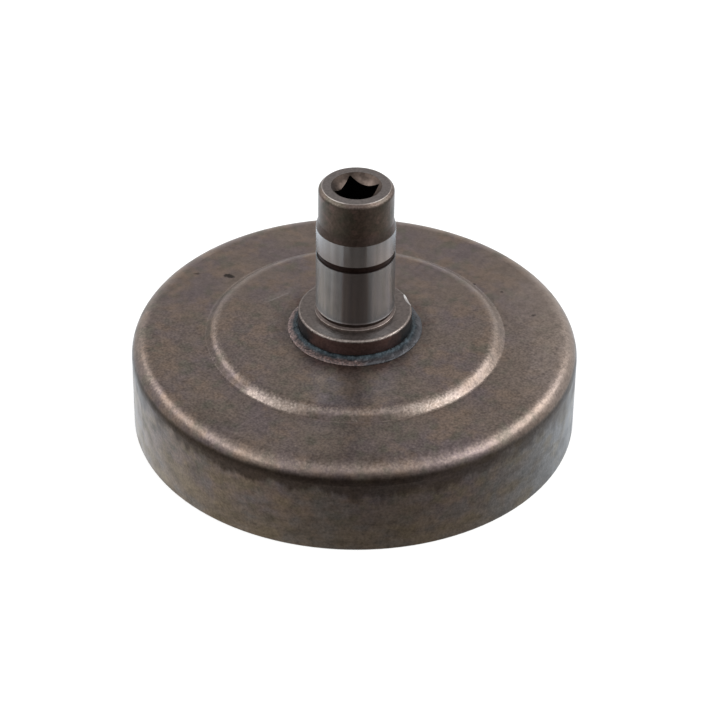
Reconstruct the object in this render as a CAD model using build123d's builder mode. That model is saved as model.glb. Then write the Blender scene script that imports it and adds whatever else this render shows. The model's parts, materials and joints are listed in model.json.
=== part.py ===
"""Clutch drum: a pressed steel cup, a turned hub shaft and the braze fillet that joins them."""

import os
from math import atan2, cos, hypot, radians, sin, sqrt, tan

from build123d import *

# Driving dimensions in millimetres, with heights counted from the rim plane
# Cup, pressed from one blank
drum_diameter = 68.3
drum_depth = 14.9
sheet_thickness = 2.0
inside_bend_radius = 1.0
rim_edge_break = 0.12

# Raised round plateau in the middle of the web
plateau_diameter = 42.5
plateau_rise = 1.25
step_run = 1.6
step_shoulder_bend = 2.8
step_foot_bend = 0.6
step_bend_share = 0.9
tightest_bend = 0.3

# Spigot and collar of the hub
spigot_diameter = 14.0
spigot_proud = 0.8
spigot_edge_break = 0.4
braze_gap = 0.05
collar_diameter = 17.4
collar_height = 3.3
collar_edge_radius = 0.45

# Ground bearing seat with its foot ring, grinding relief and retaining-ring groove
seat_diameter = 12.0
foot_ring_width = 0.15
foot_ring_height = 0.16
foot_ring_slope_height = 0.28
foot_ring_edge_radius = 0.1
relief_width = 0.56
relief_depth = 0.25
bearing_width = 10.0
bearing_slack = 0.35
groove_width = 1.1
groove_depth = 0.25
seat_above_groove = 3.7
seat_edge_break = 0.1

# Reduced nose and the square drive socket in it
lead_in_length = 1.25
nose_relief = 0.32
nose_length = 5.7
nose_edge_break = 0.55
nose_heel_radius = 0.6
nose_lip_radius = 0.12
socket_side = 5.0
socket_depth = 18.0
socket_corner_radius = 0.2
pilot_extra_depth = 2.5
drill_point_angle = 118
countersink_diameter = 7.56
countersink_angle = 90

# Dent in the collar's upper edge, as if struck by a ball
dent_direction = 46.5
dent_reach = 0.6
dent_mouth_radius = 4.2
dent_ball_radius = 5.4

# Braze fillet round the foot of the collar
braze_rise = 0.8
braze_reach = 1.7
braze_hollow = 0.12
toe_width = 0.75
toe_height = 0.32
toe_bulge = 0.14

# Radii and heights that follow from them
drum_radius = drum_diameter / 2
plateau_radius = plateau_diameter / 2
spigot_radius = spigot_diameter / 2
collar_radius = collar_diameter / 2
seat_radius = seat_diameter / 2
foot_ring_radius = seat_radius + foot_ring_width
relief_radius = seat_radius - relief_depth
groove_radius = seat_radius - groove_depth
nose_radius = seat_radius - nose_relief
countersink_radius = countersink_diameter / 2
pilot_radius = socket_side / 2

web_top = drum_depth + plateau_rise
web_bottom = web_top - sheet_thickness
spigot_bottom = web_bottom - spigot_proud
collar_top = web_top + collar_height
foot_ring_edge = collar_top + foot_ring_height
foot_ring_top = foot_ring_edge + foot_ring_slope_height
seat_bottom = foot_ring_top + relief_width
groove_bottom = collar_top + bearing_width + bearing_slack
groove_top = groove_bottom + groove_width
seat_top = groove_top + seat_above_groove
nose_bottom = seat_top + lead_in_length
shaft_top = nose_bottom + nose_length

# The step's slope, how far its two bends move inwards on the underside of the sheet,
# and the radii of these bends on both of its sides
step_foot_radius = plateau_radius + step_run
step_slope = atan2(plateau_rise, step_run)
step_length = hypot(plateau_rise, step_run)
underside_shift = sheet_thickness * tan(step_slope / 2)
step_bend_room = step_bend_share * step_length / tan(step_slope / 2)
shoulder_bend = min(step_shoulder_bend, step_bend_room - step_foot_bend)
underside_shoulder_bend = max(shoulder_bend - sheet_thickness, tightest_bend)
underside_foot_bend = min(step_foot_bend + sheet_thickness, step_bend_room - underside_shoulder_bend)

os.makedirs("parts", exist_ok=True)

with BuildPart() as drum_cup:
    # Half section of the pressed sheet, its outside line and its inside line
    with BuildSketch(Plane.XZ):
        with BuildLine():
            outside = FilletPolyline(
                (drum_radius, 0),
                (drum_radius, drum_depth),
                (step_foot_radius, drum_depth),
                (plateau_radius, web_top),
                (spigot_radius + braze_gap, web_top),
                radius=[inside_bend_radius + sheet_thickness, step_foot_bend, shoulder_bend],
            )
            inside = FilletPolyline(
                (drum_radius - sheet_thickness, 0),
                (drum_radius - sheet_thickness, drum_depth - sheet_thickness),
                (step_foot_radius - underside_shift, drum_depth - sheet_thickness),
                (plateau_radius - underside_shift, web_bottom),
                (spigot_radius + braze_gap, web_bottom),
                radius=[inside_bend_radius, underside_foot_bend, underside_shoulder_bend],
            )
            Line(outside @ 0, inside @ 0)
            Line(outside @ 1, inside @ 1)
        make_face()
    revolve(axis=Axis.Z)
    # Both edges of the trimmed rim are broken
    chamfer(drum_cup.edges().filter_by(GeomType.CIRCLE).group_by(Axis.Z)[0], rim_edge_break)

with BuildPart() as hub_shaft:
    # Spigot through the web, and the collar that seats on it
    with BuildSketch(Plane.XZ) as collar_section:
        with BuildLine():
            Polyline(
                (0, spigot_bottom),
                (spigot_radius - spigot_edge_break, spigot_bottom),
                (spigot_radius, spigot_bottom + spigot_edge_break),
                (spigot_radius, web_top),
                (collar_radius, web_top),
                (collar_radius, collar_top),
                (0, collar_top),
                close=True,
            )
        make_face()
        collar_corner = collar_section.vertices().sort_by_distance((collar_radius, collar_top))[0]
        fillet(collar_corner, collar_edge_radius)
    revolve(axis=Axis.Z)
    # The dent bites into the collar alone, so it is cut before the shaft is added
    dent_distance = collar_radius - dent_reach + dent_mouth_radius
    dent_height = sqrt(dent_ball_radius**2 - dent_mouth_radius**2)
    dent_x = dent_distance * cos(radians(dent_direction))
    dent_y = dent_distance * sin(radians(dent_direction))
    with Locations((dent_x, dent_y, collar_top + dent_height)):
        Sphere(dent_ball_radius, mode=Mode.SUBTRACT)
    # Shaft: coned foot ring inside the bearing's corner, grinding relief, seat, groove, lead-in and nose
    with BuildSketch(Plane.XZ) as shaft_section:
        with BuildLine():
            Polyline(
                (0, web_top),
                (foot_ring_radius, web_top),
                (foot_ring_radius, foot_ring_edge),
                (relief_radius, foot_ring_top),
                (relief_radius, seat_bottom),
                (seat_radius - seat_edge_break, seat_bottom),
                (seat_radius, seat_bottom + seat_edge_break),
                (seat_radius, groove_bottom),
                (groove_radius, groove_bottom),
                (groove_radius, groove_top),
                (seat_radius, groove_top),
                (seat_radius, seat_top),
                (nose_radius, nose_bottom),
                (nose_radius, shaft_top - nose_edge_break),
                (nose_radius - nose_edge_break, shaft_top),
                (0, shaft_top),
                close=True,
            )
        make_face()
        ring_edge = shaft_section.vertices().sort_by_distance((foot_ring_radius, foot_ring_edge))[0]
        fillet(ring_edge, foot_ring_edge_radius)
        # The nose's chamfer runs softly into its side and keeps a small lip at the flat end
        heel = shaft_section.vertices().sort_by_distance((nose_radius, shaft_top - nose_edge_break))[0]
        fillet(heel, nose_heel_radius)
        lip = shaft_section.vertices().sort_by_distance((nose_radius - nose_edge_break, shaft_top))[0]
        fillet(lip, nose_lip_radius)
    revolve(axis=Axis.Z)
    # Square drive socket, broached into a drilled pilot that runs deeper and ends in a drill point
    with BuildSketch(Plane.XY.offset(shaft_top)):
        RectangleRounded(socket_side, socket_side, socket_corner_radius)
    extrude(amount=-socket_depth, mode=Mode.SUBTRACT)
    pilot_bottom = shaft_top - socket_depth - pilot_extra_depth
    drill_point_height = pilot_radius / tan(radians(drill_point_angle / 2))
    countersink_depth = (countersink_radius - pilot_radius) / tan(radians(countersink_angle / 2))
    with BuildSketch(Plane.XZ):
        with BuildLine():
            Polyline(
                (0, pilot_bottom - drill_point_height),
                (pilot_radius, pilot_bottom),
                (pilot_radius, shaft_top - countersink_depth),
                (countersink_radius, shaft_top),
                (0, shaft_top),
                close=True,
            )
        make_face()
    revolve(axis=Axis.Z, mode=Mode.SUBTRACT)

with BuildPart() as braze_ring:
    # Hollow fillet from the collar's side down to a rounded toe on the plateau
    crest = (collar_radius + braze_reach - toe_width, web_top + toe_height)
    with BuildSketch(Plane.XZ):
        with BuildLine():
            Line((collar_radius, web_top), (collar_radius, web_top + braze_rise))
            SagittaArc((collar_radius, web_top + braze_rise), crest, -braze_hollow)
            SagittaArc(crest, (collar_radius + braze_reach, web_top), toe_bulge)
            Line((collar_radius + braze_reach, web_top), (collar_radius, web_top))
        make_face()
    revolve(axis=Axis.Z)

drum_cup.part.label = "drum_cup"
hub_shaft.part.label = "hub_shaft"
braze_ring.part.label = "braze_ring"

export_step(drum_cup.part, "parts/drum_cup.step")
export_step(hub_shaft.part, "parts/hub_shaft.step")
export_step(braze_ring.part, "parts/braze_ring.step")
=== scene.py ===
# %% [markdown]
# # A clutch drum, dressed for the studio
# A clutch drum is the cup that a centrifugal clutch grips from inside. This one has three pieces: a
# pressed steel cup, a turned hub shaft, and the ring of braze metal that joins them for good.
# The solids arrive ready-made and at their real size, so this lesson is about looks: finishes, wear,
# one modelled bead, and the light. First we load the solids, and a helper reads the box that each one fills.

# %% Load the frame
import json
import math

import bpy
from mathutils import Matrix, Vector


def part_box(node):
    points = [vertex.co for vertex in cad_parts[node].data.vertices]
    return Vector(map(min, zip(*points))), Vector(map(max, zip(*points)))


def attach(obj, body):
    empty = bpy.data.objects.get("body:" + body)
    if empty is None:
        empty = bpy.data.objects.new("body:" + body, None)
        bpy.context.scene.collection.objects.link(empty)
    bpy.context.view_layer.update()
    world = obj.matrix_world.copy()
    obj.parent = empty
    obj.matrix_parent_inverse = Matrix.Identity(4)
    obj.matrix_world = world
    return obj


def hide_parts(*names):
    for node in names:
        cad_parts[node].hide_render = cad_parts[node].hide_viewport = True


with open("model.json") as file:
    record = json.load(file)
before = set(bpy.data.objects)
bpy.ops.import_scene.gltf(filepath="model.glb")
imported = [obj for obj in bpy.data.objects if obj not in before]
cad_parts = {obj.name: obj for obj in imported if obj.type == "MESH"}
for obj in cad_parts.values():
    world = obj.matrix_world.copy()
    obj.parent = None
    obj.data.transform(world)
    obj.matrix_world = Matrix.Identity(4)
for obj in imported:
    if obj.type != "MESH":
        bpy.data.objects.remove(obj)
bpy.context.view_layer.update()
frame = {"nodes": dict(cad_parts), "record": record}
nodes = frame["nodes"]
mounts = {mount["name"]: mount for mount in frame["record"]["mounts"]}
MM = 0.001

# %% [markdown]
# ## Where the camera stands
# A product photographer works with a long lens, from far back, so that round things stay round. The
# camera is placed the same way: a direction, a distance and a slight roll. Two vectors that follow
# from it, to the camera's right and towards the camera, are also used to hang the lights.

# %% Camera
CAMERA_AZIMUTH = math.radians(28.0)
CAMERA_ELEVATION = math.radians(35.86)
CAMERA_DISTANCE = 443.4 * MM
CAMERA_ROLL = math.radians(0.8)
LENS = 143.7
AIM_RIGHT = 0.87 * MM
AIM_HEIGHT = 9.77 * MM

right = Vector((math.cos(CAMERA_AZIMUTH), math.sin(CAMERA_AZIMUTH), 0))
towards = Vector((math.sin(CAMERA_AZIMUTH), -math.cos(CAMERA_AZIMUTH), 0))
up = Vector((0, 0, 1))
back = towards * math.cos(CAMERA_ELEVATION) + up * math.sin(CAMERA_ELEVATION)
view_up = back.cross(right)

bpy.ops.object.select_all(action="DESELECT")
bpy.ops.object.camera_add()
camera = bpy.context.object
camera.name = "studio_camera"
camera.data.lens = LENS
camera.data.clip_start = 10 * MM
rolled_right = right * math.cos(CAMERA_ROLL) + view_up * math.sin(CAMERA_ROLL)
rolled_up = view_up * math.cos(CAMERA_ROLL) - right * math.sin(CAMERA_ROLL)
turn = Matrix((rolled_right, rolled_up, back)).transposed().to_4x4()
place = right * AIM_RIGHT + up * AIM_HEIGHT + back * CAMERA_DISTANCE
camera.matrix_world = Matrix.Translation(place) @ turn
bpy.context.scene.camera = camera
print("camera at", [round(x, 3) for x in camera.matrix_world.translation])

# %% [markdown]
# ## Shader sums in plain Python
# A finish is a sum of masks: where the metal is worn, where it is stained, how coarse the grain is.
# Drawn as nodes, such sums become a tangle, so a small class wraps a node's output. Adding or
# multiplying two of these wires places the Math node for us, and `node` places any other kind.

# %% Wires
class Wire:
    """One output of a node; sums on wires add Math nodes to the same material."""

    def __init__(self, socket):
        self.socket = socket

    def node(self, kind, settings, values, output=0):
        """Add a node: first its settings, then the values or wires of its sockets."""
        tree = self.socket.id_data
        made = tree.nodes.new("ShaderNode" + kind)
        for name, setting in settings.items():
            setattr(made, name, setting)
        for name, value in values.items():
            if isinstance(value, Wire):
                tree.links.new(value.socket, made.inputs[name])
            else:
                made.inputs[name].default_value = value
        return Wire(made.outputs[output])

    def feed(self, shader, name):
        self.socket.id_data.links.new(self.socket, shader.inputs[name])

    def math(self, operation, first, second=0.0):
        return self.node("Math", {"operation": operation}, {0: first, 1: second})

    def __add__(self, other):
        return self.math("ADD", self, other)

    def __radd__(self, other):
        return self.math("ADD", other, self)

    def __sub__(self, other):
        return self.math("SUBTRACT", self, other)

    def __rsub__(self, other):
        return self.math("SUBTRACT", other, self)

    def __mul__(self, other):
        return self.math("MULTIPLY", self, other)

    def __rmul__(self, other):
        return self.math("MULTIPLY", other, self)


print("sums on wires:", [name for name in vars(Wire) if name.endswith(("add__", "sub__", "mul__"))])

# %% [markdown]
# ## Words for a finish
# Every finish here is described in millimetres on the piece itself, so a patch of oxide stays where it
# is from every side. These few helpers are the vocabulary: a smooth rise, a band, cloudy noise, a mix
# of two colours, and a round or long mark at a given place.

# %% Finish helpers
def new_finish(name):
    """A metal material, its shader, and the place on the piece in millimetres."""
    finish = bpy.data.materials.new(name)
    finish.use_nodes = True
    shader = finish.node_tree.nodes["Principled BSDF"]
    shader.inputs["Metallic"].default_value = 1.0
    metres = Wire(finish.node_tree.nodes.new("ShaderNodeTexCoord").outputs["Object"])
    return finish, shader, metres.node("VectorMath", {"operation": "SCALE"}, {0: metres, "Scale": 1 / MM})


def axes(place):
    """The three coordinates of a place, and its distance from the drum's axis."""
    x, y, z = (place.node("SeparateXYZ", {}, {0: place}, output=axis) for axis in range(3))
    return x, y, z, place.math("SQRT", x * x + y * y)


def rise(value, low, high):
    """0 below low, 1 above high, and a smooth climb between them."""
    ends = {"Value": value, "From Min": low, "From Max": high}
    return value.node("MapRange", {"interpolation_type": "SMOOTHSTEP"}, ends)


def between(value, low, high, soft):
    return rise(value, low - soft, low + soft) * (1 - rise(value, high - soft, high + soft))


def noise(place, per_mm, seed, detail=2.0, stretch=(1, 1, 1)):
    """Cloudy noise from 0 to 1 with so many lumps to a millimetre."""
    scaled = place.node("VectorMath", {"operation": "MULTIPLY"}, {0: place, 1: stretch})
    values = {"Vector": scaled, "W": seed, "Scale": per_mm, "Detail": detail}
    return place.node("TexNoise", {"noise_dimensions": "4D"}, values)


def mix(share, first, second, way="MIX"):
    """A colour that goes from the first to the second as share goes from 0 to 1."""
    ends = {"Factor": share, 6: first, 7: second}
    return share.node("Mix", {"data_type": "RGBA", "blend_type": way}, ends, output=2)


def shade(colour, strength):
    """A colour made lighter or darker by a number near 1."""
    ends = {"Factor": 1.0, 6: colour, 7: strength}
    return strength.node("Mix", {"data_type": "RGBA", "blend_type": "MULTIPLY"}, ends, output=2)


def spot(x, y, centre, along, across, angle, ragged):
    """A mark on the web: 1 inside an oval at centre, 0 outside, with a ragged edge."""
    c, s = math.cos(angle), math.sin(angle)
    u = ((x - centre[0]) * c + (y - centre[1]) * s) * (1 / along)
    v = ((y - centre[1]) * c - (x - centre[0]) * s) * (1 / across)
    reach = x.math("SQRT", u * u + v * v) + ragged
    return 1 - rise(reach, 0.6, 1.15)


print("helpers for finishes:", [made.__name__ for made in (axes, rise, between, noise, mix, shade, spot)])

# %% [markdown]
# ## Pressed steel: a brown oxide skin
# The cup was drawn from sheet and then heated for brazing, which left a thin, cloudy oxide: mostly
# brown, here mauve, there russet, with darker olive patches. A painted picture would slide or blur, so the
# colours come from noise at three sizes, from patches as wide as a thumb down to grains.

# %% Cup skin
BROWN = (0.239, 0.187, 0.157, 1)
MAUVE = (0.211, 0.168, 0.165, 1)
RUSSET = (0.281, 0.206, 0.157, 1)
OLIVE = (0.163, 0.150, 0.119, 1)
PALE = (0.363, 0.295, 0.253, 1)

cup_steel, cup_shader, place = new_finish("pressed_steel")
x, y, z, radius = axes(place)
cloud = noise(place, 0.13, 1.0, detail=4)
patch = noise(place, 0.26, 2.0, detail=5)
blotch = noise(place, 0.38, 3.0, detail=5)
mottle = noise(place, 0.9, 10.0, detail=3)
grain = noise(place, 2.8, 4.0, detail=3)
skin = mix(rise(cloud, 0.38, 0.62), BROWN, MAUVE)
skin = mix(rise(patch, 0.46, 0.66) * 0.75, skin, RUSSET)
skin = mix(rise(blotch, 0.50, 0.68) * 0.7, skin, OLIVE)
rightward = x * right.x + y * right.y
# Painted light: the right side of the cup is painted paler.
skin = mix(rise(rightward + 14.0 * (cloud - 0.5), 20.0, 34.0) * 0.75, skin, PALE)
print("cup skin mixed from", len(cup_steel.node_tree.nodes), "nodes")

# %% [markdown]
# ## Stains and painted reflections on the wall
# On the upright wall the oxide was wiped round the drum, so its stains are long and lie flat. The same
# noise does this when its height is squeezed: lumps come out wide and low. Tan and grey tints lie over
# each other. A painted reflection makes the wall lighter towards the bottom and blue-grey towards one
# side, and a painted shade darkens the far end of that side.

# %% Wall tints
WEB_FACE = 14.9
BEND_RADIUS = 3.0
WALL_TOP = WEB_FACE - BEND_RADIUS
DRUM_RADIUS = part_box("drum_cup")[1].x / MM
STAIN = (0.110, 0.088, 0.064, 1)
WALL_LOW_REFLECTION = (0.263, 0.208, 0.155, 1)
WALL_SIDE_REFLECTION = (0.222, 0.222, 0.221, 1)
TAN = (0.250, 0.196, 0.120, 1)
GREYED = (0.190, 0.184, 0.180, 1)
WALL_FAR_SHADE = (0.152, 0.146, 0.149, 1)

wall = rise(radius, DRUM_RADIUS - 0.35, DRUM_RADIUS - 0.1)
smear = noise(place, 0.30, 5.0, detail=5, stretch=(1, 1, 2.6))
run = noise(place, 0.42, 6.0, detail=4, stretch=(1, 1, 0.45))
tint = noise(place, 0.24, 24.0, detail=4, stretch=(1, 1, 1.6))
# Painted reflection: the wall is painted lighter towards the bottom.
skin = mix(wall * (1 - rise(z, 0.0, 9.0)) * 0.8, skin, WALL_LOW_REFLECTION)
# Painted reflection: blue-grey towards the right side, with a painted shade at its far end.
skin = mix(wall * rise(rightward + 16.0 * (run - 0.5), 14.0, 30.0) * 0.8, skin, WALL_SIDE_REFLECTION)
skin = mix(wall * rise(rightward, 27.0, 33.0) * 0.5, skin, WALL_FAR_SHADE)
skin = mix(wall * rise(tint, 0.48, 0.64) * 0.45, skin, TAN)
skin = mix(wall * (1 - rise(tint, 0.36, 0.50)) * 0.4, skin, GREYED)
skin = mix(wall * rise(smear, 0.46, 0.70) * 0.4, skin, STAIN)
print("wall is", round(WALL_TOP, 2), "mm high under the bend, on a radius of", round(DRUM_RADIUS, 2), "mm")

# %% [markdown]
# Under the bend liquid gathered and ran down, so dark runs hang there. A run is a height with noise added
# to it: slow noise makes long and short runs, quick noise frays their lower ends. They fray most at the
# front and fade towards the back.

# %% Wall runs
RUN_DARK = (0.069, 0.049, 0.037, 1)
RUN_LENGTH = 2.5
RUN_START = 0.6
frontward = x * towards.x + y * towards.y
drift = noise(place, 0.11, 18.0, detail=3)
teeth = noise(place, 1.0, 20.0, detail=4, stretch=(1, 1, 0.4))
frayed = 0.8 + 2.4 * rise(frontward, 8.0, 24.0)
hang = z + 5.0 * (run - 0.5) + 7.0 * (drift - 0.5) + frayed * (teeth - 0.5)
runs = rise(hang, WALL_TOP - RUN_LENGTH, WALL_TOP - RUN_START)
runs = runs * (0.92 - 0.28 * rise(rightward, -20.0, 10.0))
skin = mix(wall * runs * (0.45 + 0.55 * rise(frontward, -20.0, 8.0)), skin, RUN_DARK)
print("runs end about", round(WALL_TOP - RUN_LENGTH, 2), "mm above the rim")

# %% [markdown]
# ## Marks from handling
# The web carries one dark pit, a smaller one beside it, a few specks and two faint smudges near the
# rim, and a light scuff on the plateau. Each is an oval at a place of its own, with a ragged edge. A mask
# by height keeps the dark marks off the underside of the sheet.

# %% Marks on the web
PIT_AND_SHADE = (0.030, 0.023, 0.019, 1)
SCUFFED = (0.30, 0.26, 0.24, 1)
# Each mark: centre in millimetres, half length, half width, turn in degrees, depth of tone
WEB_MARKS = [
    ((-24.6, 3.9), 0.95, 0.55, 10, 0.9),
    ((-29.3, 2.0), 0.6, 0.3, 30, 0.6),
    ((10.0, 20.8), 0.3, 0.25, 0, 0.7),
    ((14.8, 21.0), 0.3, 0.25, 0, 0.6),
    ((21.9, 17.7), 0.45, 0.3, 60, 0.6),
    ((15.5, -28.5), 8.0, 3.2, 28, 0.2),
    ((-8.0, -28.9), 5.0, 1.6, -15, 0.2),
]
SCUFFS = [
    ((-14.1, 0.9), 2.3, 0.2, 67, 0.6),
    ((-14.4, 1.4), 3.4, 0.9, 67, 0.3),
]
ragged = (noise(place, 2.0, 7.0, detail=3) - 0.5) * 1.4
on_top = rise(z, WEB_FACE - 0.7, WEB_FACE - 0.3)
for centre, along, across, turn_deg, depth in WEB_MARKS:
    mark = spot(x, y, centre, along, across, math.radians(turn_deg), ragged)
    skin = mix(mark * on_top * depth, skin, PIT_AND_SHADE)
scuffed = 0.0
for centre, along, across, turn_deg, depth in SCUFFS:
    scuffed = scuffed + depth * spot(x, y, centre, along, across, math.radians(turn_deg), ragged)
skin = mix(scuffed, skin, SCUFFED)
print("dark marks:", len(WEB_MARKS), "and light scuffs:", len(SCUFFS))

# %% [markdown]
# ## Heat tint and painted shade round the braze
# Round the braze the skin is darker, soot with a painted contact shade, and flashed with red where copper
# wetted the steel. Both fade with the distance from the braze, so a mask by radius is enough; noise breaks up
# the red.

# %% Heat tint
SOOT_AND_SHADE = (0.060, 0.054, 0.052, 1)
SOOT_AND_SHADE_WIDTH = 2.8
COPPER_FLASH = (0.20, 0.115, 0.095, 1)
FLASH_START = 0.2
FLASH_WIDTH = 3.0
BRAZE_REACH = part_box("braze_ring")[1].x / MM
flash_start = BRAZE_REACH + FLASH_START
flash = 1 - rise(radius, flash_start, flash_start + FLASH_WIDTH)
flash = flash * rise(noise(place, 0.5, 8.0, detail=4), 0.5, 0.68)
near_braze = 1 - rise(radius, BRAZE_REACH, BRAZE_REACH + SOOT_AND_SHADE_WIDTH)
skin = mix(flash * 0.7, skin, COPPER_FLASH)
# Soot with a painted contact shade next to the braze.
skin = mix(near_braze * 0.42, skin, SOOT_AND_SHADE)
print("braze reaches", round(BRAZE_REACH, 2), "mm from the axis, and its soot", SOOT_AND_SHADE_WIDTH, "mm further")

# %% [markdown]
# ## Rubbed bends, painted shade and painted highlights
# Handling rubs the outer bend brighter, in broken flecks; on the front of the plateau's shoulder the flecks
# are brighter still, wear with a painted highlight. The foot of the plateau's step has a painted shade in
# front, a stretch of the slope there a painted highlight instead, and one side of the slope is painted paler;
# a thin painted highlight follows the crease at the foot. Each of these is a band of radii, times a band of
# directions.

# %% Cup wear
RUBBED_AND_LIT = (0.35, 0.283, 0.244, 1)
SLOPE_HIGHLIGHT = (0.50, 0.42, 0.37, 1)
LIT_STRETCH_FROM, LIT_STRETCH_TO = 15.5, 20.8
PLATEAU_RADIUS = 21.25
STEP_RUN = 1.6
STEP_FOOT = PLATEAU_RADIUS + STEP_RUN
fleck = noise(place, 3.0, 9.0, detail=2)
flecks = rise(fleck, 0.40, 0.64)
facing = rise(frontward, -14.0, 4.0)
lit_stretch = between(frontward, LIT_STRETCH_FROM, LIT_STRETCH_TO, 1.2)
above_web = rise(z, WEB_FACE - 0.3, WEB_FACE - 0.1)
on_bend = between(radius, DRUM_RADIUS - 1.7, DRUM_RADIUS - 0.6, 0.4) * rise(z, WALL_TOP + 0.7, WALL_TOP + 1.5)
on_shoulder = between(radius, PLATEAU_RADIUS - 0.4, PLATEAU_RADIUS + 0.5, 0.3)
on_shoulder = on_shoulder * rise(z, WEB_FACE - 0.7, WEB_FACE - 0.1)
on_slope = between(radius, PLATEAU_RADIUS + 0.1, STEP_FOOT, 0.25) * above_web
on_foot = between(radius, PLATEAU_RADIUS + 0.75, STEP_FOOT, 0.25) * above_web
crease = between(radius, STEP_FOOT + 0.02, STEP_FOOT + 0.1, 0.06) * above_web
foot_shade = on_foot * facing * (1 - lit_stretch) * (1 - 0.7 * rise(rightward, 10.0, 18.0))

# Rubbed flecks on the bend; on the front of the shoulder they also carry a painted highlight.
skin = mix((0.8 * on_bend + 1.5 * facing * on_shoulder) * flecks * 0.5, skin, RUBBED_AND_LIT)
# Painted highlight on a stretch of the step's slope in front.
skin = mix(lit_stretch * on_slope * (0.3 + 0.5 * flecks), skin, SLOPE_HIGHLIGHT)
# Painted shade at the foot of the step, in front; the same dark colour serves the real pits.
skin = mix(foot_shade * (0.25 + 0.5 * patch), skin, PIT_AND_SHADE)
# Painted light: one side of the slope is painted paler.
skin = mix(on_slope * rise(rightward, 12.0, 20.0) * 0.4, skin, PALE)
# Painted highlight along the crease at the step's foot, in front.
skin = mix(crease * facing * 0.3, skin, RUBBED_AND_LIT)
print("step runs from", PLATEAU_RADIUS, "to", round(STEP_FOOT, 2), "mm from the axis")

# %% [markdown]
# ## Grain and gloss of the cup
# Rolled and pressed steel has a fine grain that glitters along the bends. It shades the colour a little,
# with a few pale grains like salt, roughens the gloss, and tilts the surface through a Bump node. In front
# the web is worn grainier, so the grain's strength is a mask too.

# %% Cup grain
GRAIN_DEPTH = 0.016 * MM
salt = rise(fleck, 0.62, 0.74) * facing * on_top
skin = mix(salt * 0.4, skin, PALE)
grainy = 0.5 + facing * (0.65 + 0.5 * on_top)
skin = shade(skin, 0.675 + grainy * (grain - 0.5) + 0.65 * mottle)
skin.feed(cup_shader, "Base Color")
gloss = 0.29 + 0.10 * rise(blotch, 0.4, 0.7) + 0.10 * grain
gloss.feed(cup_shader, "Roughness")
lumps = {"Strength": 1.0, "Distance": GRAIN_DEPTH, "Height": grain + 0.6 * fleck + 2.0 * patch}
place.node("Bump", {}, lumps).feed(cup_shader, "Normal")
nodes["drum_cup"].material_slots[0].material = cup_steel
print("pressed steel uses", len(cup_steel.node_tree.nodes), "nodes")

# %% [markdown]
# ## Turned steel: one bar, many finishes
# The hub was turned from one bar, and then only the bearing seat was ground bright. The nose, groove
# and collar kept their dark furnace skin. Each finish has its own height or radius on the shaft, so
# masks measured in millimetres divide the piece the way the lathe and the grinder did.

# %% Hub zones
SEAT_ABOVE_GROOVE = 3.7
GROOVE_HALF_WIDTH = 0.55
FOOT_RING_WIDTH = 0.15
FOOT_RING_HEIGHT = 0.16
FOOT_RING_SLOPE = 0.28
SOCKET_MOUTH = 3.78
COLLAR_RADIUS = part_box("hub_shaft")[1].x / MM
SEAT_RADIUS = mounts["bearing_seat"]["dims"]["r_mm"]
SEAT_FOOT = mounts["bearing_seat"]["pos_m"][2] / MM - mounts["bearing_seat"]["dims"]["length_mm"] / 2
GROOVE_HEIGHT = mounts["retaining_ring_groove"]["pos_m"][2] / MM
SEAT_TOP = GROOVE_HEIGHT + GROOVE_HALF_WIDTH + SEAT_ABOVE_GROOVE
COLLAR_TOP = mounts["collar_face"]["pos_m"][2] / MM
FOOT_RING_RADIUS = SEAT_RADIUS + FOOT_RING_WIDTH
FOOT_RING_EDGE = COLLAR_TOP + FOOT_RING_HEIGHT
RELIEF_LOW = FOOT_RING_EDGE + FOOT_RING_SLOPE
SHAFT_TOP = mounts["drive_socket"]["pos_m"][2] / MM

hub_steel, hub_shader, place = new_finish("turned_steel")
x, y, z, radius = axes(place)
on_nose = rise(z, SEAT_TOP - 0.03, SEAT_TOP + 0.03)
ground = between(z, SEAT_FOOT - 0.1, SEAT_TOP, 0.03) * rise(radius, SEAT_RADIUS - 0.15, SEAT_RADIUS - 0.06)
on_end = rise(z, SHAFT_TOP - 0.03, SHAFT_TOP - 0.01)
in_mouth = 1 - rise(radius, SOCKET_MOUTH, SOCKET_MOUTH + 0.03)
below_cone = rise(radius - z, SOCKET_MOUTH - SHAFT_TOP + 0.04, SOCKET_MOUTH - SHAFT_TOP + 0.12)
in_socket = in_mouth * below_cone * rise(z, COLLAR_TOP + 2, COLLAR_TOP + 3)
on_cone = in_mouth * (1 - below_cone)
print("seat from", round(SEAT_FOOT, 2), "to", round(SEAT_TOP, 2), "mm, collar top at", round(COLLAR_TOP, 2))

# %% [markdown]
# ## The furnace skin of the hub
# The nose is dark brown, with olive and umber clouds. The flat end and the countersink were cut later and
# are a little lighter, and the countersink carries a painted shade on one side, over noise marks. The
# collar's side is painted darker than its face, and darker still away from the front: painted shade. The
# groove and the inside of the socket are painted nearly black and the relief under the seat dark, painted
# shade in recesses.
# Noise gives the clouds, and the zones of the last cell say where each colour goes.

# %% Hub skin
UMBER = (0.150, 0.113, 0.090, 1)
MOSS = (0.106, 0.092, 0.070, 1)
MADDER = (0.200, 0.139, 0.117, 1)
HEEL_DARK = (0.090, 0.062, 0.054, 1)
END_GREY = (0.215, 0.187, 0.177, 1)
CONE_BROWN = (0.112, 0.085, 0.072, 1)
CONE_LIGHT = (0.200, 0.154, 0.132, 1)
CONE_DARK = (0.050, 0.038, 0.032, 1)
COLLAR_SIDE_SHADE = (0.040, 0.046, 0.052, 1)
SOCKET_SHADE = (0.010, 0.009, 0.009, 1)
COLLAR_BROWN = (0.203, 0.170, 0.156, 1)
COLLAR_SIDE = (0.150, 0.104, 0.098, 1)
RECESS_SHADE = (0.045, 0.030, 0.027, 1)

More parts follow.
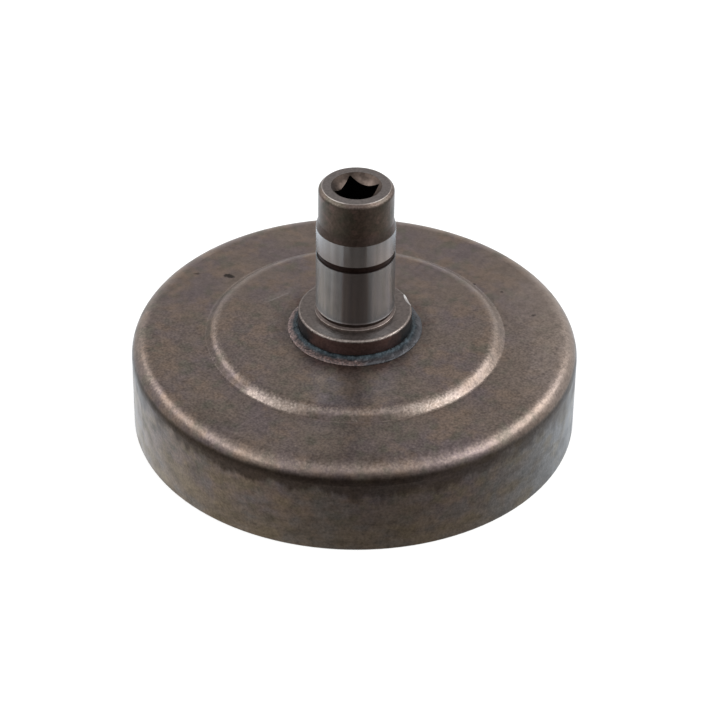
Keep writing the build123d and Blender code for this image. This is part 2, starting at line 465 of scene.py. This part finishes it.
cloud = noise(place, 0.45, 11.0, detail=5)
grain = noise(place, 2.6, 12.0, detail=3)
fleck = noise(place, 3.2, 13.0, detail=2)
skin = mix(rise(cloud, 0.40, 0.62), UMBER, MOSS)
skin = mix(rise(noise(place, 0.6, 15.0, detail=4), 0.50, 0.70), skin, MADDER)
skin = mix((1 - rise(z + cloud - 0.5, SEAT_TOP + 0.6, SEAT_TOP + 2.2)) * 0.6, skin, HEEL_DARK)
skin = mix(on_end, skin, END_GREY)
leftward = x * (-right.x) + y * (-right.y)
cone_deep = 1 - rise(radius, 2.7, 3.5)
# Painted shade: the countersink is darker on one side, with noise marks over it.
cone_shade_and_marks = rise(leftward, -0.5, 1.5) + 0.5 * rise(noise(place, 1.1, 19.0, detail=4), 0.44, 0.62)
cone_shade_and_marks = cone_shade_and_marks * (1 - 0.4 * cone_deep)
skin = mix(on_cone, skin, mix(cone_shade_and_marks, mix(cone_deep, CONE_BROWN, CONE_LIGHT), CONE_DARK))
low = 1 - rise(z, SEAT_FOOT - 0.05, SEAT_FOOT + 0.05)
skin = mix(low, skin, COLLAR_BROWN)
on_side = low * rise(radius, COLLAR_RADIUS - 0.06, COLLAR_RADIUS - 0.02)
# Painted shade: the collar's side is darker than its face.
skin = mix(on_side, skin, COLLAR_SIDE)
frontward = x * towards.x + y * towards.y
# Painted shade: the collar's side is darker still away from the front.
side_shade = on_side * (1 - rise(frontward + 5.0 * (cloud - 0.5), 4.6, 6.8))
skin = mix(side_shade, skin, COLLAR_SIDE_SHADE)
in_groove = between(z, GROOVE_HEIGHT - GROOVE_HALF_WIDTH, GROOVE_HEIGHT + GROOVE_HALF_WIDTH, 0.02)
in_relief = between(z, RELIEF_LOW, SEAT_FOOT - 0.12, 0.02)
sunk = 1 - rise(radius, SEAT_RADIUS - 0.2, SEAT_RADIUS - 0.1)
# Painted shade in the groove and, lighter, in the relief under the seat.
skin = mix((in_groove + 0.6 * in_relief) * sunk, skin, RECESS_SHADE)
# Painted shade inside the socket.
skin = mix(in_socket, skin, SOCKET_SHADE)
print("hub skin so far has", len(hub_steel.node_tree.nodes), "nodes")

# %% [markdown]
# ## The struck nick
# One blow has left a bare nick in the collar's edge. In the solids it is the bite of a ball, so the bare
# metal, painted near white as a painted glint, goes wherever the surface lies on that same ball, and it can't
# miss its place.

# %% Nick
DENT_DIRECTION = math.radians(46.5)
DENT_REACH = 0.6
DENT_MOUTH = 4.2
DENT_BALL = 5.4
dent_distance = COLLAR_RADIUS - DENT_REACH + DENT_MOUTH
dent_centre = (
    dent_distance * math.cos(DENT_DIRECTION),
    dent_distance * math.sin(DENT_DIRECTION),
    COLLAR_TOP + math.sqrt(DENT_BALL**2 - DENT_MOUTH**2),
)
from_ball = place.node("VectorMath", {"operation": "DISTANCE"}, {0: place, 1: dent_centre}, output=1)
nick = 1 - rise(from_ball, DENT_BALL + 0.02, DENT_BALL + 0.06)
print("ball of the nick is centred at", [round(c, 2) for c in dent_centre], "mm")

# %% [markdown]
# ## Bright edges
# Handling wears an edge first. The front of the collar's rim, the nose's bevel and the small foot ring carry
# a thin, broken bright line, wear with a painted highlight that on the collar is strongest at the front. The
# lip of the nose carries a painted highlight, and the bevel a painted shade in its middle. An edge has no
# mask of its own, so each one is found by its radius and its height.

# %% Hub edges
NOSE_LIP = 5.13
COLLAR_EDGE = COLLAR_RADIUS + COLLAR_TOP
collar_edge = low * rise(radius + z, COLLAR_EDGE - 0.42, COLLAR_EDGE - 0.30)
nose_lip = between(radius, NOSE_LIP - 0.05, NOSE_LIP + 0.07, 0.04) * rise(z, SHAFT_TOP - 0.3, SHAFT_TOP - 0.1)
nose_bevel = between(radius, NOSE_LIP, NOSE_LIP + 0.5, 0.05) * rise(z, SHAFT_TOP - 0.75, SHAFT_TOP - 0.55)
ring_edge = rise(radius, FOOT_RING_RADIUS - 0.08, FOOT_RING_RADIUS - 0.03)
ring_edge = low * ring_edge * rise(z, COLLAR_TOP + 0.05, COLLAR_TOP + 0.1)
ring_slope = 1 - rise(radius, FOOT_RING_RADIUS - 0.1, FOOT_RING_RADIUS - 0.05)
ring_slope = low * ring_slope * rise(z, FOOT_RING_EDGE, FOOT_RING_EDGE + 0.04)

off_centre = rise(leftward * leftward, 0.2, 5.0)
# Painted shade in the middle of the nose's bevel.
bevel_shade = 0.8 * (1 - off_centre) * rise(frontward, 2.0, 4.0) + 0.4 * rise(0 - leftward, 1.0, 4.6)
# Painted highlight along the nose's lip, dimmer in the middle.
lip_highlight_share = 0.35 + 0.55 * off_centre - 0.4 * rise(leftward * leftward, 11.0, 20.0)
lip_highlight_share = lip_highlight_share - 0.25 * rise(0 - leftward, 1.0, 3.0)
# Wear with a painted highlight, strongest at the front of the collar's rim.
front_wear_and_highlight = 0.15 + 0.8 * rise(frontward, 3.5, 6.5)
edges = (front_wear_and_highlight * collar_edge + 0.15 * nose_bevel + ring_edge) * rise(fleck, 0.34, 0.62)
print("foot ring's edge is", round(FOOT_RING_EDGE - COLLAR_TOP, 2), "mm above the collar")

# %% [markdown]
# Now the edges go on in order: the painted shade on the bevel and the ring's slope, the worn and painted
# bright edges, grain, then the painted highlight on the lip and the bare nick with its painted glint over
# everything. A thin film of oil on the nose is a coat, which shines most where we look along it.

# %% Hub colour and gloss
WORN_AND_LIT = (0.42, 0.37, 0.34, 1)
LIP_HIGHLIGHT = (0.62, 0.56, 0.53, 1)
NICK_BARE_AND_GLINT = (0.95, 0.94, 0.93, 1)
OIL_FILM = 0.22
OIL_ROUGHNESS = 0.3
TURNED_DEPTH = 0.010 * MM
# Painted shade on the nose's bevel.
skin = mix(nose_bevel * bevel_shade, skin, HEEL_DARK)
# Painted shade on the foot ring's inner slope.
skin = mix(ring_slope * 0.6, skin, RECESS_SHADE)
# Worn edges with a painted highlight, then grain.
skin = shade(mix(edges * 0.75, skin, WORN_AND_LIT), 0.42 + 1.16 * grain)
# Painted highlight on the nose's lip.
skin = mix(nose_lip * lip_highlight_share, skin, LIP_HIGHLIGHT)
# Bare metal of the nick, painted near white as a painted glint.
skin = mix(nick, skin, NICK_BARE_AND_GLINT)
skin.feed(hub_shader, "Base Color")
gloss = 0.34 + 0.12 * grain + 0.06 * cloud - 0.1 * edges - 0.15 * nick
gloss.feed(hub_shader, "Roughness")
oil = OIL_FILM * on_nose * (1 - in_mouth) * (1 - on_end)
oil.feed(hub_shader, "Coat Weight")
hub_shader.inputs["Coat Roughness"].default_value = OIL_ROUGHNESS
lumps = {"Strength": 1.0, "Distance": TURNED_DEPTH, "Height": grain + fleck}
place.node("Bump", {}, lumps).feed(hub_shader, "Normal")
print("turned skin uses", len(hub_steel.node_tree.nodes), "nodes")

# %% [markdown]
# ## The ground seat
# A grinding wheel leaves scratches that run round the shaft, and they smear every reflection up and
# down into upright stripes. The shader's anisotropy does exactly that, so the seat gets a second
# shader, and its mask is the factor that mixes the two. One side of the seat has a painted shade, most
# below the groove, and the other a painted light. Below the groove it is painted cooler at the front, a
# painted reflection tint, with a painted dark stripe in its middle. A painted highlight lines its foot, and
# its far side is plain grey.

# %% Ground seat
GROUND_GREY = (0.490, 0.505, 0.520, 1)
GROUND_SHADED = (0.300, 0.300, 0.312, 1)
GROUND_PLAIN = (0.410, 0.400, 0.393, 1)
COOL_SHEEN = (1.04, 1.15, 1.19, 1)
FOOT_HIGHLIGHT = 0.9
STRIPE_HALF_WIDTH = 1.95
GRIND_STRETCH = 0.95
QUARTER_TURN = 0.25
tree = hub_steel.node_tree
seat_shader = tree.nodes.new("ShaderNodeBsdfPrincipled")
seat_shader.inputs["Metallic"].default_value = 1.0
seat_shader.inputs["Anisotropic"].default_value = GRIND_STRETCH
seat_shader.inputs["Anisotropic Rotation"].default_value = QUARTER_TURN
scratches = noise(place, 1.0, 14.0, detail=3, stretch=(0.25, 0.25, 14.0))
streaks = noise(place, 1.1, 16.0, detail=4, stretch=(1, 1, 0.03))
below_groove = 1 - rise(z, GROOVE_HEIGHT - 0.5, GROOVE_HEIGHT)
shaded_side = rise(frontward - 0.8 * leftward + 2.0 * (cloud - 0.5), 0.0, 4.0)
# Painted shade on one side of the seat, most below the groove.
ground_metal = mix(shaded_side * (0.25 + 0.75 * below_groove), GROUND_GREY, GROUND_SHADED)
ground_metal = mix(rise(frontward, -3.0, 0.0), GROUND_PLAIN, ground_metal)
ground_metal = shade(ground_metal, 0.85 + 0.08 * scratches + 0.22 * rise(streaks, 0.36, 0.64))
# Painted light on the other side of the seat.
ground_metal = shade(ground_metal, 0.95 + 0.2 * (1 - shaded_side))
# Painted shade: a darker stripe down the seat's middle, below the groove.
stripe = between(leftward, -STRIPE_HALF_WIDTH, STRIPE_HALF_WIDTH, 0.25) * rise(frontward, 2.0, 4.0)
ground_metal = shade(ground_metal, 1 - 0.12 * below_groove * stripe)
# Painted reflection tint: cooler at the front, against the brown web the seat reflects.
cool_side = below_groove * (1 - stripe) * rise(frontward, -2.0, 1.0)
ground_metal = mix(cool_side, ground_metal, COOL_SHEEN, way="MULTIPLY")
# Painted highlight along the foot of the seat.
foot_line = 1 - rise(z, SEAT_FOOT + 0.15, SEAT_FOOT + 0.35)
shade(ground_metal, 1 + FOOT_HIGHLIGHT * foot_line).feed(seat_shader, "Base Color")
(0.15 + 0.08 * scratches).feed(seat_shader, "Roughness")
both = ground.node("MixShader", {}, {0: ground})
tree.links.new(hub_shader.outputs[0], both.socket.node.inputs[1])
tree.links.new(seat_shader.outputs[0], both.socket.node.inputs[2])
tree.links.new(both.socket, tree.nodes["Material Output"].inputs["Surface"])
nodes["hub_shaft"].material_slots[0].material = hub_steel
print("turned steel uses", len(tree.nodes), "nodes")

# %% [markdown]
# ## The braze bead
# The joint was made with a copper ring that melted in the furnace: it drew up against the collar in a
# hollow fillet and froze at its foot in a thin, lumpy toe. A plain ring would look machined, so the bead
# is modelled: one circle, extruded row by row along its section, then smoothed and displaced. The metal ran
# a little further to the front, so each row is also shifted that way.

# %% Bead rows
BEAD_STEPS = 320
RAN_FORWARD = 0.12
WEB_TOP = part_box("braze_ring")[0].z / MM
# Section of the bead: reach from the collar's side and height above the web, in millimetres
BEAD_ROWS = [
    (-0.10, 0.84), (0.06, 0.74), (0.22, 0.52), (0.48, 0.36), (0.80, 0.28), (1.10, 0.27), (1.36, 0.20),
    (1.58, 0.09), (1.68, -0.06), (-0.10, -0.06),
]
bpy.ops.object.select_all(action="DESELECT")
first = (COLLAR_RADIUS + BEAD_ROWS[-1][0], WEB_TOP + BEAD_ROWS[-1][1])
bpy.ops.mesh.primitive_circle_add(vertices=BEAD_STEPS, radius=first[0] * MM, location=(0, 0, first[1] * MM))
bead = bpy.context.object
bead.name = "braze_bead"
bpy.ops.object.transform_apply(location=True)
bpy.ops.object.mode_set(mode="EDIT")
bpy.ops.mesh.select_all(action="SELECT")
row = first
row_shift = Vector((0, 0, 0))
for reach, height in BEAD_ROWS:
    following = (COLLAR_RADIUS + reach, WEB_TOP + height)
    shift = towards * RAN_FORWARD * max(reach, 0) * MM
    bpy.ops.mesh.extrude_region_move()
    scale = following[0] / row[0]
    bpy.ops.transform.resize(value=(scale, scale, 1), center_override=row_shift)
    bpy.ops.transform.translate(value=shift - row_shift + up * (following[1] - row[1]) * MM)
    row, row_shift = following, shift
bpy.ops.mesh.select_all(action="SELECT")
bpy.ops.mesh.remove_doubles(threshold=0.001 * MM)
bpy.ops.mesh.normals_make_consistent(inside=False)
bpy.ops.object.mode_set(mode="OBJECT")
print("bead rows give", len(bead.data.polygons), "faces")

# %% [markdown]
# Two Displace modifiers roughen it: slow lumps where the metal ran, and the grains of its crust.

# %% Bead lumps
LUMP_SIZE, LUMP_HEIGHT = 1.3 * MM, 0.25 * MM
CRUST_SIZE, CRUST_HEIGHT = 0.28 * MM, 0.13 * MM


def roughen(piece, name, lump_size, strength):
    texture = bpy.data.textures.new(name, "CLOUDS")
    texture.noise_scale = lump_size
    lumps = piece.modifiers.new(name, "DISPLACE")
    lumps.texture = texture
    lumps.texture_coords = "LOCAL"
    lumps.strength = strength
    bpy.ops.object.modifier_apply(modifier=name)


smooth = bead.modifiers.new("smooth", "SUBSURF")
smooth.levels = smooth.render_levels = 1
bpy.ops.object.modifier_apply(modifier="smooth")
roughen(bead, "slow_lumps", LUMP_SIZE, LUMP_HEIGHT)
roughen(bead, "crust", CRUST_SIZE, CRUST_HEIGHT)
bpy.ops.object.shade_smooth()
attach(bead, "root")
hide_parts("braze_ring")
print("braze bead has", len(bead.data.polygons), "faces")

# %% [markdown]
# ## Braze metal
# The hollow is heat-blued, almost black against the collar. The toe is covered in blue-grey scale, and on one
# side the outer half of it is clean, pink copper, grain by grain. Its outer edge is darkened, soot with a
# painted shade. A mask by radius and one by direction decide which shows.

# %% Braze finish
CRUST_DEPTH = 0.035 * MM
BLACKENED_AND_SHADE = (0.014, 0.016, 0.018, 1)
HEAT_BLUE = (0.044, 0.057, 0.066, 1)
SCALE_GREY = (0.131, 0.131, 0.141, 1)
COPPER = (0.34, 0.250, 0.233, 1)
braze_metal, braze_shader, place = new_finish("braze_metal")
x, y, z, radius = axes(place)
crumb = noise(place, 1.2, 21.0, detail=4)
grain = noise(place, 3.0, 22.0, detail=3)
out = radius - COLLAR_RADIUS + 0.9 * (crumb - 0.5)
leftward = x * (-right.x) + y * (-right.y)
frontward = x * towards.x + y * towards.y
wander = 4.0 * (noise(place, 0.35, 23.0, detail=3) - 0.5)
copper_side = rise(leftward + 0.6 * frontward + wander, 3.0, 6.0)
clean = copper_side * (0.4 + 0.6 * rise(grain, 0.38, 0.60))
skin = mix(rise(out, 0.0, 0.3), BLACKENED_AND_SHADE, HEAT_BLUE)
skin = mix(rise(out, 0.3, 1.15), skin, SCALE_GREY)
skin = mix(rise(out, 0.5, 1.2) * clean, skin, COPPER)
# Soot with a painted shade at the toe's outer edge.
skin = mix(rise(radius - COLLAR_RADIUS, 1.2, 1.8) * 0.5, skin, BLACKENED_AND_SHADE)
skin = shade(skin, 1 + (0.8 + 0.9 * copper_side) * (grain - 0.5))
skin.feed(braze_shader, "Base Color")
(0.55 - 0.15 * grain).feed(braze_shader, "Roughness")
lumps = {"Strength": 1.0, "Distance": CRUST_DEPTH, "Height": grain}
place.node("Bump", {}, lumps).feed(braze_shader, "Normal")
bead.data.materials.append(braze_metal)
print("braze metal uses", len(braze_metal.node_tree.nodes), "nodes")

# %% [markdown]
# ## Paper floor
# The drum stands on white paper. Metal shows little of itself and much of what is round it, so the paper is
# kept out of reflections. It glows a little by itself, which keeps it white without a strong lamp.

# %% Paper floor
WHITE = (1, 1, 1, 1)
FLOOR_SIZE = 40.0
FLOOR_GREY = (0.5, 0.5, 0.5, 1)
FLOOR_GLOW = 0.72


def studio_material(piece, name, colour, glow_colour, glow, settings):
    """A plain material for something in the studio: its colour, its own glow, and other settings."""
    made = bpy.data.materials.new(name)
    made.use_nodes = True
    values = {"Base Color": colour, "Emission Color": glow_colour, "Emission Strength": glow, **settings}
    for socket, value in values.items():
        made.node_tree.nodes["Principled BSDF"].inputs[socket].default_value = value
    piece.data.materials.append(made)
    return made


bpy.ops.object.select_all(action="DESELECT")
bpy.ops.mesh.primitive_plane_add(size=FLOOR_SIZE)
floor = bpy.context.object
floor.name = "paper_floor"
floor.visible_glossy = False
matt = {"Roughness": 1.0, "Specular IOR Level": 0.0}
studio_material(floor, "pale_paper", FLOOR_GREY, WHITE, FLOOR_GLOW, matt)
print("paper floor is", FLOOR_SIZE, "m wide")

# %% [markdown]
# ## Paper backdrop
# From low down the camera would look past the floor's far edge, so a wide ring of white paper stands round
# the studio. Only the camera sees it: it lights nothing, and nothing reflects it.

# %% Paper backdrop
BACKDROP_RADIUS = 3.0
BLACK = (0, 0, 0, 1)
bpy.ops.object.select_all(action="DESELECT")
bpy.ops.mesh.primitive_cylinder_add(
    vertices=96, radius=BACKDROP_RADIUS, depth=2 * BACKDROP_RADIUS, end_fill_type="NOTHING",
)
backdrop = bpy.context.object
backdrop.name = "paper_backdrop"
backdrop.visible_diffuse = backdrop.visible_glossy = backdrop.visible_shadow = False
glow = studio_material(backdrop, "white_backdrop", BLACK, WHITE, 1.0, {"Specular IOR Level": 0.0})
glow.cycles.emission_sampling = "NONE"
print("paper backdrop stands", BACKDROP_RADIUS, "m away")

# %% [markdown]
# ## The light of the room
# The walls of a studio are never equally bright, and metal shows it. So the world's strength depends on the
# direction: a belt at eye level that is brighter behind the drum, a ceiling that is brighter towards the
# camera, and the light that a table throws up from below, which is also a little cooler.

# %% Room light
COOL = (0.93, 1.0, 1.07, 1)
world = bpy.data.worlds.new("studio_room")
bpy.context.scene.world = world
world.use_nodes = True
tree = world.node_tree
ray = Wire(tree.nodes.new("ShaderNodeTexCoord").outputs["Generated"])
front = ray.node("VectorMath", {"operation": "DOT_PRODUCT"}, {0: ray, 1: towards}, output=1)
side = ray.node("VectorMath", {"operation": "DOT_PRODUCT"}, {0: ray, 1: right}, output=1)
height = ray.node("SeparateXYZ", {}, {0: ray}, output=2)
belt = 0.45 - 0.36 * front + 0.12 * front * front
ceiling = 0.74 + 0.52 * front + 0.25 * side
table = 0.60 - 0.62 * front + 0.45 * front * front - 0.18 * side
light = belt + rise(height, 0.15, 0.9) * (ceiling - belt)
light = light + rise(0 - height, 0.3, 0.55) * (table - light)
light.feed(tree.nodes["Background"], "Strength")
from_below = rise(0 - height, 0.1, 0.5) * rise(0 - front, -0.3, 0.7)
mix(from_below, WHITE, COOL).feed(tree.nodes["Background"], "Color")
bpy.context.scene.view_settings.view_transform = "Standard"
print("room light uses", len(tree.nodes), "nodes")

# %% [markdown]
# ## Softboxes
# Two long softboxes hang left and right of the drum, above it. They draw the bright lines along the bends. An
# area lamp's power grows with its size, so each is given as a brightness, and its power is worked out.

# %% Softboxes
LAMP_DISTANCE = 0.6


def softbox(name, direction, size, radiance):
    """A lamp of a width and height in metres that hangs in a direction and faces the drum."""
    bpy.ops.object.light_add(type="AREA")
    lamp = bpy.context.object
    lamp.name = name
    lamp.data.shape = "RECTANGLE"
    lamp.data.size, lamp.data.size_y = size
    lamp.data.energy = radiance * math.pi * size[0] * size[1]
    stand = direction.normalized() * LAMP_DISTANCE
    lamp.matrix_world = Matrix.Translation(stand) @ stand.to_track_quat("Z", "Y").to_matrix().to_4x4()
    print(name, "gives", round(lamp.data.energy, 2), "W")


softbox("left_softbox", -right * 0.77 + up * 0.64 + towards * 0.03, (1.12, 0.18), 2.2)
softbox("right_softbox", right * 0.77 + up * 0.64 - towards * 0.03, (0.72, 0.20), 3.4)

# %% [markdown]
# ## A black flag
# On the camera's side a black cloth leaves the dark stripe that gives round metal its shape. It is a piece of
# a wide cylinder: a ring is added, all faces but those near the camera are deleted, and its upper and lower
# edges are extruded in steps, so that the dark stripe narrows upwards. The camera itself looks through it.

# %% Black flag
FLAG_RADIUS = 0.6
FLAG_LOW, FLAG_HIGH = -0.36, 0.13
FLAG_HALF_ANGLE = 33
# Each step: from this height to that one, and its leftmost and rightmost bearing
FLAG_STEPS = [(0.13, 0.27, -15, 36), (0.27, 0.44, -13, 18), (-0.36, -0.44, -18, 36)]
CLOTH_BLACK = (0.02, 0.02, 0.02, 1)
CLOTH_WARMTH = (1.0, 0.86, 0.76, 1)
CLOTH_GLOW = 0.06


def bearing(point):
    """Degrees to the right of the camera, seen from the drum."""
    return math.degrees(math.atan2(point.dot(right), point.dot(towards)))


bpy.ops.object.select_all(action="DESELECT")
bpy.ops.mesh.primitive_cylinder_add(
    vertices=120, radius=FLAG_RADIUS, depth=FLAG_HIGH - FLAG_LOW, end_fill_type="NOTHING",
    location=(0, 0, (FLAG_HIGH + FLAG_LOW) / 2),
)
flag = bpy.context.object
flag.name = "black_flag"
bpy.ops.object.transform_apply(location=True)
bpy.ops.object.mode_set(mode="EDIT")
bpy.ops.mesh.select_mode(type="FACE")
bpy.ops.mesh.select_all(action="DESELECT")
bpy.ops.object.mode_set(mode="OBJECT")
for face in flag.data.polygons:
    face.select = abs(bearing(face.center)) > FLAG_HALF_ANGLE
bpy.ops.object.mode_set(mode="EDIT")
bpy.ops.mesh.delete(type="FACE")
bpy.ops.mesh.select_mode(type="EDGE")
for old, new, leftmost, rightmost in FLAG_STEPS:
    bpy.ops.mesh.select_all(action="DESELECT")
    bpy.ops.object.mode_set(mode="OBJECT")
    for edge in flag.data.edges:
        ends = [flag.data.vertices[corner].co for corner in edge.vertices]
        level = max(abs(end.z - old) for end in ends) < MM
        edge.select = level and leftmost < bearing((ends[0] + ends[1]) / 2) < rightmost
    bpy.ops.object.mode_set(mode="EDIT")
    bpy.ops.mesh.extrude_region_move()
    bpy.ops.transform.translate(value=(0, 0, new - old))
bpy.ops.object.mode_set(mode="OBJECT")
flag.visible_camera = False
flag.visible_shadow = False
studio_material(flag, "black_cloth", CLOTH_BLACK, CLOTH_WARMTH, CLOTH_GLOW, {"Roughness": 1.0})
print("flag keeps", len(flag.data.polygons), "faces")

# %% [markdown]
